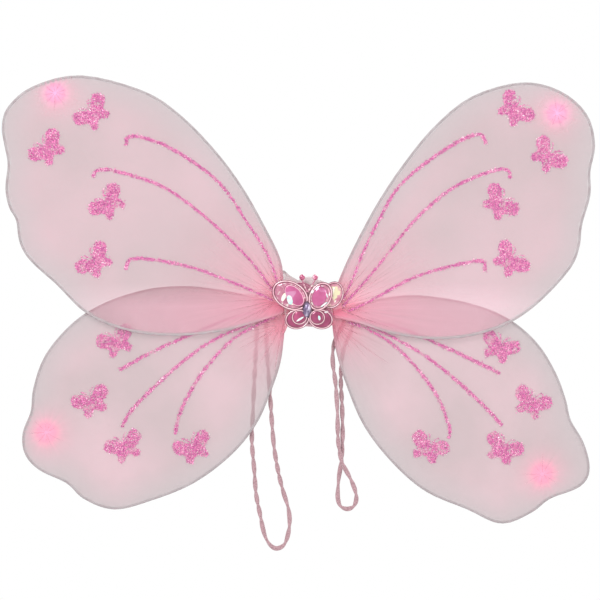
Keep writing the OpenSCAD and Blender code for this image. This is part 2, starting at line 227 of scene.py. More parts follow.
class Nodes:
    """A material's node tree, with short calls for the nodes that the materials share."""

    def __init__(self, name, **sockets):
        self.material = bpy.data.materials.new(name)
        self.material.use_nodes = True
        self.tree = self.material.node_tree
        self.shader = next(n for n in self.tree.nodes if n.type == "BSDF_PRINCIPLED")
        for socket, value in sockets.items():
            self.shader.inputs[socket.replace("_", " ")].default_value = value
        self.place = self.add("ShaderNodeTexCoord").outputs["Object"]

    def add(self, kind, **settings):
        node = self.tree.nodes.new(kind)
        for key, value in settings.items():
            setattr(node, key, value)
        return node

    def link(self, value, socket):
        """Feeds a socket from another socket, a number, a vector or a colour."""
        if isinstance(value, bpy.types.NodeSocket):
            self.tree.links.new(value, socket)
        elif hasattr(value, "__len__") and len(value) == 3 and socket.type == "RGBA":
            socket.default_value = (*value, 1)
        else:
            socket.default_value = value

    def set(self, name, value):
        self.link(value, self.shader.inputs[name])

    def math(self, operation, a, b=0.0, clamp=False):
        node = self.add("ShaderNodeMath", operation=operation, use_clamp=clamp)
        self.link(a, node.inputs[0])
        self.link(b, node.inputs[1])
        return node.outputs[0]

    def vector(self, operation, a, b=(0, 0, 0)):
        node = self.add("ShaderNodeVectorMath", operation=operation)
        self.link(a, node.inputs[0])
        self.link(b, node.inputs[1])
        return node.outputs["Value" if operation == "LENGTH" else "Vector"]

    def axis(self, name):
        """One coordinate in the object's own space."""
        node = self.add("ShaderNodeSeparateXYZ")
        self.link(self.place, node.inputs[0])
        return node.outputs[name]

    def attribute(self, name):
        return self.add("ShaderNodeAttribute", attribute_name=name).outputs["Fac"]

    def mix(self, factor, a, b):
        node = self.add("ShaderNodeMix", data_type="RGBA")
        self.link(factor, node.inputs[0])
        self.link(a, node.inputs[6])
        self.link(b, node.inputs[7])
        return node.outputs[2]

    def noise(self, scale, detail=2.0, place=None, roughness=0.5):
        node = self.add("ShaderNodeTexNoise")
        self.link(self.place if place is None else place, node.inputs["Vector"])
        node.inputs["Scale"].default_value = scale
        node.inputs["Detail"].default_value = detail
        node.inputs["Roughness"].default_value = roughness
        return node.outputs["Fac"]

    def cells(self, scale):
        node = self.add("ShaderNodeTexVoronoi")
        self.link(self.place, node.inputs["Vector"])
        node.inputs["Scale"].default_value = scale
        return node

    def ramp(self, factor, *stops):
        node = self.add("ShaderNodeValToRGB")
        elements = node.color_ramp.elements
        while len(elements) < len(stops):
            elements.new(0.5)
        for element, (position, colour) in zip(elements, stops):
            element.position = position
            element.color = (*colour, 1)
        self.link(factor, node.inputs[0])
        return node.outputs[0]

    def between(self, value, low, high, to_low=0.0, to_high=1.0):
        node = self.add("ShaderNodeMapRange")
        self.link(value, node.inputs["Value"])
        for name, number in (("From Min", low), ("From Max", high), ("To Min", to_low), ("To Max", to_high)):
            node.inputs[name].default_value = number
        return node.outputs[0]

    def near(self, away, inner, outer, power):
        """1 within the inner distance, falling to 0 at the outer one."""
        return self.math("POWER", self.between(away, inner, outer, 1, 0), power)

    def two_tone(self, factor, start, end, low, high):
        """Colours the surface from one shade to another as the factor goes from start to end."""
        self.set("Base Color", self.mix(self.between(factor, start, end), low, high))

    def bump(self, height, distance, strength=1.0):
        node = self.add("ShaderNodeBump")
        node.inputs["Strength"].default_value = strength
        node.inputs["Distance"].default_value = distance
        self.link(height, node.inputs["Height"])
        self.set("Normal", node.outputs["Normal"])


def knit(nodes, pitch):
    """A fine knitted weave: rows of stitches crossed by finer ribs, 0 to 1."""
    turns = 2 * math.pi / pitch
    ribs = nodes.math("SINE", nodes.math("MULTIPLY", nodes.axis("X"), turns))
    rows = nodes.math("SINE", nodes.math("MULTIPLY", nodes.axis("Z"), 0.6 * turns))
    return nodes.between(nodes.math("ADD", ribs, rows), -2, 2)


# Each level's nylon: its colours, how far the pink runs from the root, and how opaque it is.
NYLON = {
    "upper": {"grey": (0.42, 0.23, 0.26), "warm": (0.55, 0.29, 0.345), "rim": (0.36, 0.26, 0.28),
              "root": (0.84, 0.365, 0.465), "tie_core": (1.0, 0.47, 0.72),
              "root_reach": 120 * MM, "hot": 0.75, "cover": 0.33, "root_cover": 0.34},
    "lower": {"grey": (0.485, 0.34, 0.36), "warm": (0.62, 0.40, 0.445), "rim": (0.43, 0.36, 0.37),
              "root": (0.66, 0.315, 0.385), "tie_core": (1.0, 0.38, 0.54),
              "root_reach": 75 * MM, "hot": 0.5, "cover": 0.45, "root_cover": 0.30},
}
CROSSING_PINK = (0.71, 0.405, 0.48)    # where the upper wings lie over the lower ones
HOT_PINK = (0.98, 0.24, 0.37)
TIE_PINK = (1.0, 0.40, 0.54)
HEM_GREY = (0.47, 0.40, 0.415)


def nylon_material(name, root, tie, level):
    """Sheer pink nylon: greyer at the edge, pinker where it is gathered at the root and at the tip's tie."""
    n = Nodes(name, Roughness=0.6, Sheen_Weight=0.2, Sheen_Roughness=0.4, IOR=1.4)
    facts = NYLON[level]
    from_root = n.vector("SUBTRACT", n.place, root)
    root_away = n.vector("LENGTH", from_root)
    from_tie = n.vector("MULTIPLY", n.vector("SUBTRACT", n.place, tie), (1, 0, 1))
    tie_away = n.vector("LENGTH", from_tie)
    root_near = n.near(root_away, 8 * MM, facts["root_reach"], 1.7)
    tie_near = n.near(tie_away, 2 * MM, 36 * MM, 2.4)
    tie_core = n.near(tie_away, 1 * MM, 15 * MM, 1.3)
    root_rays = n.noise(24, 3, n.vector("NORMALIZE", from_root), 0.65)
    tie_rays = n.noise(3.5, 2, n.vector("NORMALIZE", from_tie), 0.6)
    cloud = n.noise(11, 3)
    edge = n.attribute("edge_near")

    body = n.mix(n.between(cloud, 0.38, 0.66), facts["grey"], facts["warm"])
    body = n.mix(n.math("MULTIPLY", edge, 0.8), body, facts["rim"])
    if level == "upper":
        crossing = n.between(n.axis("Z"), 24 * MM, 4 * MM)
        crossing = n.math("MULTIPLY", crossing, n.between(root_away, 200 * MM, 125 * MM))
        body = n.mix(crossing, body, CROSSING_PINK)
    root_pink = n.math("MULTIPLY", root_near, n.between(root_rays, 0.3, 0.7, 0.55, 1.0))
    body = n.mix(root_pink, body, facts["root"])
    hot = n.near(root_away, 6 * MM, 32 * MM, 1.5)
    body = n.mix(n.math("MULTIPLY", hot, facts["hot"]), body, HOT_PINK)
    tie_pink = n.math("MULTIPLY", tie_near, n.between(tie_rays, 0.36, 0.64, 0.7, 1.0))
    body = n.mix(tie_pink, body, TIE_PINK)
    body = n.mix(tie_core, body, facts["tie_core"])
    hem = n.math("MULTIPLY", n.between(edge, 0.90, 0.95), n.between(root_away, 20 * MM, 60 * MM))
    n.set("Base Color", n.mix(hem, body, HEM_GREY))

    weave = knit(n, 0.55 * MM)
    cover = facts["cover"]
    alpha = n.between(weave, 0, 1, cover, cover + 0.07)
    for share, amount in ((cloud, 0.06), (root_pink, facts["root_cover"]), (edge, -0.03), (tie_pink, 0.25)):
        alpha = n.math("ADD", alpha, n.math("MULTIPLY", share, amount))
    n.set("Alpha", n.math("ADD", alpha, n.math("MULTIPLY", tie_core, 0.22), clamp=True))
    folds = n.math("ADD", n.math("MULTIPLY", root_rays, n.math("MULTIPLY", root_near, 4)), weave)
    n.bump(folds, 0.06 * MM, 0.6)
    return n.material


def gathered_nylon_material(name, low, high, alpha, pale=None, fades=False):
    """Bunched nylon, close to opaque, with creases and a fine weave. It can thin out into the wing."""
    n = Nodes(name, Roughness=0.6, Sheen_Weight=0.3, Sheen_Roughness=0.4)
    creases = n.noise(240, 3, n.vector("MULTIPLY", n.place, (1, 1, 0.25)))
    body = n.mix(n.between(creases, 0.3, 0.7), low, high)
    if pale:
        height = n.math("ADD", n.axis("Z"), n.math("MULTIPLY", creases, 8 * MM))
        body = n.mix(n.between(height, 14 * MM, 32 * MM), body, pale)
    n.set("Base Color", body)
    weave = knit(n, 0.5 * MM)
    cover = n.between(weave, 0, 1, alpha, min(1, alpha + 0.12))
    if fades:
        cover = n.math("MULTIPLY", cover, n.between(n.attribute("share_out"), 0.7, 1.0, 1, 0))
    n.set("Alpha", cover)
    n.bump(n.math("ADD", n.math("MULTIPLY", creases, 3), weave), 0.15 * MM, 0.8)
    return n.material


def wire_material():
    """Steel wire under a thin white coat, a little uneven."""
    n = Nodes("coated_wire", Roughness=0.38)
    patches = n.noise(90, 4)
    n.two_tone(patches, 0.35, 0.65, (0.42, 0.39, 0.40), (0.58, 0.55, 0.56))
    n.set("Metallic", n.between(patches, 0.55, 0.7, 0.0, 0.3))
    n.bump(n.noise(900, 2), 0.05 * MM, 0.4)
    return n.material


def binding_material():
    n = Nodes("binding_wire", Roughness=0.3, Metallic=1.0)
    n.set("Base Color", n.mix(n.noise(300, 3), (0.50, 0.50, 0.53), (0.68, 0.67, 0.68)))
    n.bump(n.noise(1500, 2), 0.04 * MM, 0.5)
    return n.material


def print_material():
    """The clear pink glue under the glitter, patchy and full of fine specks."""
    n = Nodes("glitter_print", Roughness=0.5)
    specks = n.cells(1400)
    n.set("Base Color", n.ramp(specks.outputs["Color"], (0.1, (0.50, 0.08, 0.28)), (0.45, (0.74, 0.19, 0.40)),
                               (0.7, (0.84, 0.34, 0.52)), (0.95, (0.95, 0.66, 0.80))))
    n.set("Alpha", n.between(n.noise(520, 4, roughness=0.7), 0.42, 0.62, 0.12, 0.62))
    n.bump(specks.outputs["Distance"], 0.2 * MM, 0.8)
    return n.material


def flake_material():
    """Cut foil glitter: each flake has its own colour, from magenta to near white. The spread is partly the
    foil's own colours and partly painted sparkle: the palest flakes stand in for light caught by tilted foil.
    """
    n = Nodes("glitter_flakes", Metallic=0.35)
    n.set("Base Color", n.ramp(
        n.attribute("flake_tone_and_sparkle"), (0.0, (0.34, 0.05, 0.20)), (0.25, (0.56, 0.10, 0.34)),
        (0.6, (0.77, 0.19, 0.42)), (0.85, (0.86, 0.40, 0.58)), (1.0, (1.0, 0.82, 0.88))))
    n.set("Roughness", n.between(n.noise(2500, 1), 0.3, 0.7, 0.25, 0.45))
    return n.material


def gem_material(name, deep, light, foil_and_highlight, scale=120):
    """Foil-backed moulded plastic: a clear coat over patches of iridescent colour, and pale flecks that are
    partly the foil's own colour and partly painted highlights.
    """
    n = Nodes(name, Roughness=0.12, Coat_Weight=1.0, Coat_Roughness=0.04, Metallic=0.25)
    patches = n.cells(scale)
    glow = n.noise(scale * 0.6, 3)
    body = n.mix(n.between(glow, 0.35, 0.65), deep, light)
    foil_and_highlight_fleck = n.between(n.math("MULTIPLY", patches.outputs["Color"], glow), 0.33, 0.44)
    # Pale flecks: partly the foil's colour, partly painted highlights.
    n.set("Base Color", n.mix(foil_and_highlight_fleck, body, foil_and_highlight))
    n.bump(patches.outputs["Distance"], 0.35 * MM, 0.5)
    return n.material


def plastic_material(name, low, high):
    """Moulded pearly plastic with faint flow marks."""
    n = Nodes(name, Roughness=0.2, Coat_Weight=0.6, Coat_Roughness=0.08, Metallic=0.2)
    n.two_tone(n.noise(160, 3), 0.35, 0.65, low, high)
    n.bump(n.noise(700, 2), 0.05 * MM, 0.3)
    return n.material


def glint_material(name, low, high):
    """Painted highlight: a pale pearly colour on small facets, standing in for light that the gems catch."""
    n = Nodes(name, Roughness=0.15, Coat_Weight=1.0, Coat_Roughness=0.05, Metallic=0.1)
    n.two_tone(n.noise(260, 2), 0.4, 0.6, low, high)
    n.bump(n.noise(900, 2), 0.04 * MM, 0.3)
    return n.material


def elastic_material():
    """Covered elastic: fine lengthwise ribs with a soft, slightly hairy face."""
    n = Nodes("elastic", Roughness=0.8, Sheen_Weight=0.4, Sheen_Roughness=0.5)
    strands = n.noise(1100, 3)
    n.two_tone(strands, 0.35, 0.65, (0.30, 0.17, 0.19), (0.50, 0.31, 0.34))
    n.bump(strands, 0.12 * MM, 0.8)
    return n.material


def thread_material():
    n = Nodes("tie_thread", Roughness=0.7, Sheen_Weight=0.3)
    twist = n.noise(2200, 2, n.vector("MULTIPLY", n.place, (1, 0.3, 1)))
    n.two_tone(twist, 0.35, 0.65, (0.86, 0.14, 0.32), (0.98, 0.32, 0.5))
    n.bump(twist, 0.1 * MM, 0.8)
    return n.material


def felt_material():
    """Pressed pink felt: matted fibres of slightly different pinks."""
    n = Nodes("felt", Roughness=0.95, Sheen_Weight=0.6, Sheen_Roughness=0.6)
    fibres = n.math("ADD", n.noise(900, 6, roughness=0.75), n.noise(230, 4, roughness=0.7))
    n.two_tone(fibres, 0.8, 1.2, (0.50, 0.15, 0.26), (0.74, 0.33, 0.45))
    n.bump(fibres, 0.3 * MM, 0.9)
    return n.material


def floor_material():
    n = Nodes("floor", Roughness=0.6)
    n.set("Base Color", n.mix(n.noise(3, 2), (0.86, 0.86, 0.87), (0.90, 0.90, 0.91)))
    return n.material


WIRE = wire_material()
BINDING = binding_material()
PRINT = print_material()
FLAKES = flake_material()
ELASTIC = elastic_material()
THREAD = thread_material()
FELT = felt_material()
PALE_NYLON = (0.70, 0.59, 0.60)
WRAP = gathered_nylon_material("wrap_nylon", (0.58, 0.32, 0.38), (0.80, 0.50, 0.56), 0.82, PALE_NYLON)
GATHER = gathered_nylon_material("root_gather_nylon", (0.82, 0.27, 0.37), (1.0, 0.42, 0.52), 0.78,
                                 PALE_NYLON, fades=True)
CREASE = gathered_nylon_material("crease_nylon", (0.78, 0.34, 0.43), (0.95, 0.48, 0.58), 0.14)
TIE = gathered_nylon_material("tie_nylon", (1.0, 0.46, 0.70), (1.0, 0.66, 0.88), 0.8)
SETTING = plastic_material("jewel_setting", (0.42, 0.12, 0.21), (0.60, 0.24, 0.34))
RIM = plastic_material("jewel_rim", (0.80, 0.42, 0.50), (0.92, 0.64, 0.69))
# Painted shade: dark bands along the jewels' rims that stand in for the shade in the grooves and the shadow
# beside the rims.
SHADE_LINES = plastic_material("jewel_painted_shade_lines", (0.16, 0.06, 0.08), (0.28, 0.12, 0.15))
PEARL = gem_material("jewel_pearl", (0.42, 0.11, 0.20), (0.60, 0.25, 0.34), (0.78, 0.66, 0.62), 420)
COLLAR = plastic_material("body_collar_plastic", (0.06, 0.03, 0.05), (0.16, 0.08, 0.13))
# Painted highlights: pale pearly colours for the gems' glints.
GLINT = glint_material("jewel_glint", (0.80, 0.80, 0.80), (0.52, 0.80, 0.75))
GOLD_GLINT = glint_material("jewel_gold_glint", (0.92, 0.90, 0.66), (0.95, 0.97, 0.90))
GEM = gem_material("jewel_gem", (0.42, 0.05, 0.18), (0.57, 0.11, 0.29), (0.62, 0.24, 0.42))
LOWER_GEM = gem_material("jewel_lower_gem", (0.26, 0.02, 0.09), (0.50, 0.07, 0.20), (0.66, 0.28, 0.40))
REAR_GEM = gem_material("jewel_rear_gem", (0.52, 0.16, 0.25), (0.70, 0.38, 0.42), (0.78, 0.72, 0.46), 260)
STONE = gem_material("body_stone", (0.04, 0.025, 0.06), (0.20, 0.13, 0.27), (0.66, 0.60, 0.74), 260)
BEAD = gem_material("bead", (0.42, 0.05, 0.15), (0.70, 0.18, 0.32), (0.95, 0.65, 0.74), 420)


# ---------------------------------------------------------------- camera, light, floor

PHOTO_SPAN = 507 * MM      # width of the view at the wings
VIEW_CENTRE = (-7.2 * MM, 9.3 * MM)
CAMERA_AWAY = 2.2          # metres in front of the wings
SENSOR = 36.0
FLOOR_BELOW = 0.22         # metres below the straps
FLOOR_RADIUS = 1.3


def add_camera():
    wings_y = (cad_box[0][1] + cad_box[1][1]) / 2
    camera = bpy.data.objects.new("camera", bpy.data.cameras.new("camera"))
    camera.data.sensor_width = SENSOR
    camera.data.lens = SENSOR * CAMERA_AWAY / PHOTO_SPAN
    camera.location = (VIEW_CENTRE[0], wings_y - CAMERA_AWAY, VIEW_CENTRE[1])
    camera.rotation_euler = (math.radians(90), 0, 0)
    bpy.context.scene.collection.objects.link(camera)
    bpy.context.scene.camera = camera


def add_light(name, place, size, watts):
    lamp = bpy.data.objects.new(name, bpy.data.lights.new(name, "AREA"))
    lamp.data.size = size
    lamp.data.energy = watts
    lamp.location = place
    lamp.rotation_euler = (-Vector(place)).to_track_quat("-Z", "Y").to_euler()
    bpy.context.scene.collection.objects.link(lamp)


def add_surroundings():
    """Soft studio light all round, and a pale floor well below the wings."""
    world = bpy.data.worlds.new("studio")
    world.use_nodes = True
    background = next(n for n in world.node_tree.nodes if n.type == "BACKGROUND")
    background.inputs["Color"].default_value = (1, 1, 1, 1)
    background.inputs["Strength"].default_value = 1.0
    bpy.context.scene.world = world
    bpy.context.scene.view_settings.view_transform = "Standard"
    add_light("key", (-0.9, -1.5, 1.3), 0.7, 16)
    add_light("fill", (1.4, -1.2, 0.3), 1.0, 6)
    add_light("back", (0.2, 1.6, 0.9), 0.9, 8)
    floor_z = cad_box[0][2] - FLOOR_BELOW
    sides = 64
    points = [(0, 0, floor_z)]
    points += [(FLOOR_RADIUS * math.cos(a), FLOOR_RADIUS * math.sin(a), floor_z) for a in round_angles(sides)]
    faces = [(0, 1 + k, 1 + (k + 1) % sides) for k in range(sides)]
    mesh = bpy.data.meshes.new("floor")
    mesh.from_pydata(points, [], faces)
    mesh.materials.append(floor_material())
    floor = bpy.data.objects.new("floor", mesh)
    bpy.context.scene.collection.objects.link(floor)


add_camera()
add_surroundings()


# ---------------------------------------------------------------- straps

# The routes of the elastic, the same as in the CAD, in metres.
STRAP_WIDTH = 4 * MM
STRAP_THICKNESS = 2.5 * MM
TWIST_PITCH = 30 * MM      # one full turn of the flat elastic
STRAPS = {
    "left": {
        "length": 0.4228,
        "route": [
            (-0.044, -0.0014, 0.0037), (-0.044, -0.0014, -0.020), (-0.046, -0.0014, -0.060),
            (-0.0475, -0.0014, -0.095), (-0.048, -0.0014, -0.112), (-0.046, -0.0014, -0.135),
            (-0.0445, -0.0014, -0.155), (-0.041, -0.0014, -0.173), (-0.0375, -0.0014, -0.189),
            (-0.033, -0.0014, -0.198), (-0.027, -0.0014, -0.2015), (-0.0205, -0.0014, -0.198),
            (-0.017, -0.0014, -0.188), (-0.016, -0.0014, -0.177), (-0.0175, -0.0014, -0.166),
            (-0.0215, -0.0014, -0.153), (-0.0255, -0.0014, -0.137), (-0.029, -0.0014, -0.117),
            (-0.031, -0.0014, -0.095), (-0.033, -0.0014, -0.065), (-0.0355, -0.0014, -0.030),
            (-0.036, -0.0014, 0.0037),
        ],
    },
    "right": {
        "length": 0.3452,
        "route": [
            (0.031, -0.0014, -0.0033), (0.029, -0.0017, -0.012), (0.022, -0.0021, -0.027),
            (0.0205, -0.0026, -0.042), (0.023, -0.003, -0.062), (0.0245, -0.003, -0.085),
            (0.0252, -0.0033, -0.110), (0.0285, -0.0035, -0.128), (0.0355, -0.0028, -0.142),
            (0.0395, -0.002, -0.152), (0.0406, -0.0016, -0.1595), (0.0383, -0.0014, -0.1657),
            (0.0328, -0.0011, -0.168), (0.0273, -0.0008, -0.1657), (0.025, -0.0004, -0.1595),
            (0.025, 0, -0.151), (0.026, 0.0002, -0.140), (0.0278, 0.0003, -0.128),
            (0.029, 0.0002, -0.108), (0.0285, 0, -0.080), (0.0275, 0, -0.058),
            (0.0295, -0.0002, -0.034), (0.0365, -0.0012, -0.016), (0.038, -0.0014, -0.0033),
        ],
    },
}


def add_strap(side):
    """One shoulder loop: flat elastic that has twisted along its whole length."""
    facts = STRAPS[side]
    path = spaced(smooth_curve(facts["route"], 12), 1.0 * MM)
    travelled = np.arange(len(path)) * facts["length"] / (len(path) - 1)
    wander = 1.1 * np.sin(travelled / (23 * MM)) + 0.5 * np.sin(travelled / (9 * MM))
    turn = 2 * math.pi * travelled / TWIST_PITCH + wander
    points, faces = sweep(path, oval_section(STRAP_WIDTH, STRAP_THICKNESS, 16), turn=turn)
    strap = mesh_piece(f"{side}_elastic", points, faces, ELASTIC)
    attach(strap, f"{side}_strap_loop")
    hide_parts(f"{side}_strap")


def trefoil(middle, radius, depth, steps):
    """The line of a small overhand knot, seen from the front."""
    rows = []
    for t in round_angles(steps):
        reach = radius * (2 + math.cos(3 * t)) / 3
        rows.append((middle[0] + reach * math.cos(2 * t), middle[1] + depth * math.sin(3 * t),
                     middle[2] + reach * math.sin(2 * t)))
    return np.array(rows)


def add_knots(side):
    """Both ends of a loop, each passed over the wing's edge and tied behind it."""
    node = f"{side}_strap_knots"
    parts = []
    for island in solids(node):
        x = (island[:, 0].min() + island[:, 0].max()) / 2
        front, back, top = island[:, 1].min(), island[:, 1].max(), island[:, 2].max()
        radius = (island[:, 0].max() - island[:, 0].min()) / 2
        knot = (x, back - radius, island[:, 2].min() + radius)
        loop = trefoil(knot, radius * 0.78, 1.3 * MM, 90)
        parts.append(sweep(loop, oval_section(2.1 * MM, 1.7 * MM, 12), closed=True))
        rise = spaced(smooth_curve([
            (x, back - radius * 0.9, knot[2]), (x, back - radius * 1.3, knot[2] + 3 * MM),
            (x, back - radius * 1.45, top - 2.2 * MM), (x, back - radius * 1.9, top - 0.5 * MM),
            (x, (front + back - radius) / 2 - 0.6 * MM, top - 0.4 * MM),
            (x, front + 0.7 * MM, top - 1.2 * MM),
            (x, front + 0.45 * MM, top - 3.5 * MM), (x, front + 0.45 * MM, knot[2]),
            (x, front + 0.9 * MM, knot[2] - 1.6 * MM),
        ], 8), 0.5 * MM)
        parts.append(sweep(rise, oval_section(0.9 * MM, 3.0 * MM, 12), reference=(1, 0, 0)))
    points, faces = joined(parts)
    knots = turn_outwards(mesh_piece(f"{side}_elastic_knots", points, faces, ELASTIC))
    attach(knots, f"{side}_lower_wing")
    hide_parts(node)


for strap_side in SIDES:
    add_strap(strap_side)
    add_knots(strap_side)


# ---------------------------------------------------------------- nylon

ROOT_X = 21 * MM
EDGE_R = 1.25 * MM         # from the middle of the wire to the nylon over it
COVER_EDGE = 1.3 * MM      # from the middle of the wire to the outside of the CAD cover
RIM_SPACING = 1.5 * MM     # between the points of a wing's rim
EDGE_BAND = 24 * MM        # how far in the greyer edge of a wing runs
ROOT_FOLDS = 105 * MM      # how far the folds run from the root, and from the tie
TIE_FOLDS = 30 * MM
FOLD_DEPTH = 0.45 * MM
BACK_SLACK = 0.75 * MM     # how far the back layer sags towards the front one
RIPPLE = 0.05 * MM
ROOT_CREASES = {"upper": 16, "lower": 9}
TIE_CREASES = 9


def tie_place(side, level):
    """Where the thread is tied, on the back of the wing near its tip."""
    low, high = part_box(f"{side}_{level}_tip_tie")
    return (low + high) / 2


def ring_way(ring):
    """The direction along a closed line at each of its points."""
    way = np.roll(ring, -1, axis=0) - np.roll(ring, 1, axis=0)
    return way / np.linalg.norm(way, axis=1)[:, None]


def wing_rim(side, level):
    """The wing's root, and its wire's line as evenly spaced (x, z) points, once round."""
    co = np.array([v.co[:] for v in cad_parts[f"{side}_{level}_cover"].data.vertices])
    face = co[co[:, 1] < co[:, 1].min() + 0.01 * MM][:, [0, 2]]
    face = np.unique(np.round(face, 6), axis=0)
    out = SIDES[side]
    near = face[np.abs(face[:, 0]) < ROOT_X]
    root = np.array([out * (ROOT_X + 0.5 * MM), near[:, 1].mean()])
    angle = np.arctan2(face[:, 1] - root[1], out * (face[:, 0] - root[0]))
    face = face[np.argsort(angle)]
    rim = spaced(face, RIM_SPACING, closed=True)
    way = ring_way(rim)
    inwards = np.stack([-way[:, 1], way[:, 0]], axis=1) * out
    return root, rim + COVER_EDGE * inwards


def uneven(coarse, length, focus, reach, fine):
    """Marks from 0 to 1 along a length, a coarse spacing apart, and a fine one round the focus."""
    marks = np.linspace(0, 1, 2000)
    spacing = np.where(np.abs(marks - focus) * length < reach, fine, coarse)
    dense = np.concatenate([[0], np.cumsum(1 / spacing[1:])])
    steps = int(dense[-1] * length / (len(marks) - 1))
    return np.interp(np.linspace(0, dense[-1], steps), dense, marks)


def pleats(angle, seed, waves):
    """Irregular folds round a gather, 0 to 1, for an array of angles."""
    rng = np.random.default_rng(seed)
    height = np.zeros_like(angle)
    for wave in waves:
        height += np.sin(wave * angle + rng.uniform(0, 2 * math.pi)) / len(waves)
    return 0.5 + 0.5 * np.clip(1.6 * height, -1, 1)


def add_nylon(side, level):
    """One wing's nylon: two sheer layers, closed round the wire, gathered at the root and the tip's tie."""
    seed = WINGS.index((side, level)) * 10
    root, rim = wing_rim(side, level)
    low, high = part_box(f"{side}_{level}_cover")
    middle_y = (low[1] + high[1]) / 2
    tie = tie_place(side, level)
    tie_flat = np.array([tie[0], tie[2]])

    around = np.linalg.norm(np.diff(np.vstack([rim, rim[:1]]), axis=0), axis=1).sum()
    ray = (rim - root) / np.linalg.norm(rim - root, axis=1)[:, None]
    tie_ray = (tie_flat - root) / np.linalg.norm(tie_flat - root)
    facing = int(np.argmax(ray @ tie_ray))
    turns = uneven(3.2 * MM, around, facing / len(rim), 26 * MM, 1.3 * MM)[:-1]
    position = turns * len(rim)
    closed = np.vstack([rim, rim[:1]])
    edge = np.stack([np.interp(position, np.arange(len(closed)), closed[:, k]) for k in range(2)], axis=1)
    reach = np.linalg.norm(rim[facing] - root)
    depth = uneven(4.5 * MM, reach, np.linalg.norm(tie_flat - root) / reach, 24 * MM, 1.5 * MM)
    depth = depth ** 1.15

    flat = root + (edge - root)[:, None, :] * depth[None, :, None]
    from_root = flat - root
    root_away = np.linalg.norm(from_root, axis=2)
    root_angle = np.arctan2(from_root[:, :, 1], from_root[:, :, 0] * SIDES[side])
    from_tie = flat - tie_flat
    tie_away = np.linalg.norm(from_tie, axis=2)
    tie_angle = np.arctan2(from_tie[:, :, 1], from_tie[:, :, 0])
    wire_away = np.linalg.norm(edge - root, axis=1)[:, None] * (1 - depth[None, :])
    free = np.clip(wire_away / (9 * MM), 0, 1) ** 1.5

    def layer(front):
        """How far a layer is from the middle of the wing, towards the front or the back."""
        shift = 0 if front else 5
        root_fade = np.clip(1 - root_away / ROOT_FOLDS, 0, 1) ** 1.5 * np.clip(root_away / (6 * MM), 0, 1)
        tie_fade = np.clip(1 - tie_away / TIE_FOLDS, 0, 1) ** 1.6 * np.clip(tie_away / (2.5 * MM), 0, 1)
        dip = FOLD_DEPTH * root_fade * pleats(root_angle, seed + shift, (31, 47, 73, 19))
        dip += FOLD_DEPTH * tie_fade * pleats(tie_angle, seed + shift + 1, (9, 14, 23))
        slack = (0.0 if front else BACK_SLACK) * np.clip(wire_away / (60 * MM), 0, 1)
        ripple = RIPPLE * np.sin(flat[:, :, 0] / (13 * MM) + seed) * np.sin(flat[:, :, 1] / (17 * MM))
        return EDGE_R - (dip + slack) * free - np.abs(ripple) * free

    front = np.stack([flat[:, :, 0], middle_y - layer(True), flat[:, :, 1]], axis=2)
    back = np.stack([flat[:, :, 0], middle_y + layer(False), flat[:, :, 1]], axis=2)[:, ::-1]
    way = ring_way(edge)
    outwards = np.stack([way[:, 1], -way[:, 0]], axis=1) * SIDES[side]
    bend = []
    for angle in np.radians([65, 35, 0, -35, -65]):
        place = edge + EDGE_R * math.cos(angle) * outwards
        bend.append(np.stack([place[:, 0], np.full(len(edge), middle_y - EDGE_R * math.sin(angle)),
                              place[:, 1]], axis=1))
    rows = np.concatenate([front[:, 1:], np.stack(bend, axis=1), back[:, :-1]], axis=1)
    count, columns = rows.shape[:2]
    points = list(rows.reshape(-1, 3))
    faces = grid_faces(count, columns, closed_rows=True, closed_columns=False)
    points.append((root[0], front[0, 0, 1], root[1]))
    points.append((root[0], back[0, -1, 1], root[1]))
    for k in range(count):
        m = (k + 1) % count
        faces.append((len(points) - 2, m * columns, k * columns))
        faces.append((len(points) - 1, k * columns + columns - 1, m * columns + columns - 1))

    name = f"{side}_{level}_nylon"
    material = nylon_material(name, (root[0], middle_y, root[1]), tuple(tie), level)
    sheet = turn_outwards(mesh_piece(name, points, faces, material))
    co = np.array([v.co[:] for v in sheet.data.vertices])
    off = np.min(np.linalg.norm(co[:, None, [0, 2]] - rim[None, ::3], axis=2), axis=1)
    mark(sheet, "edge_near", np.clip(1 - off / EDGE_BAND, 0, 1))
    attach(sheet, f"{side}_{level}_wing")
    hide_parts(f"{side}_{level}_cover")


for wing_side, wing_level in WINGS:
    add_nylon(wing_side, wing_level)


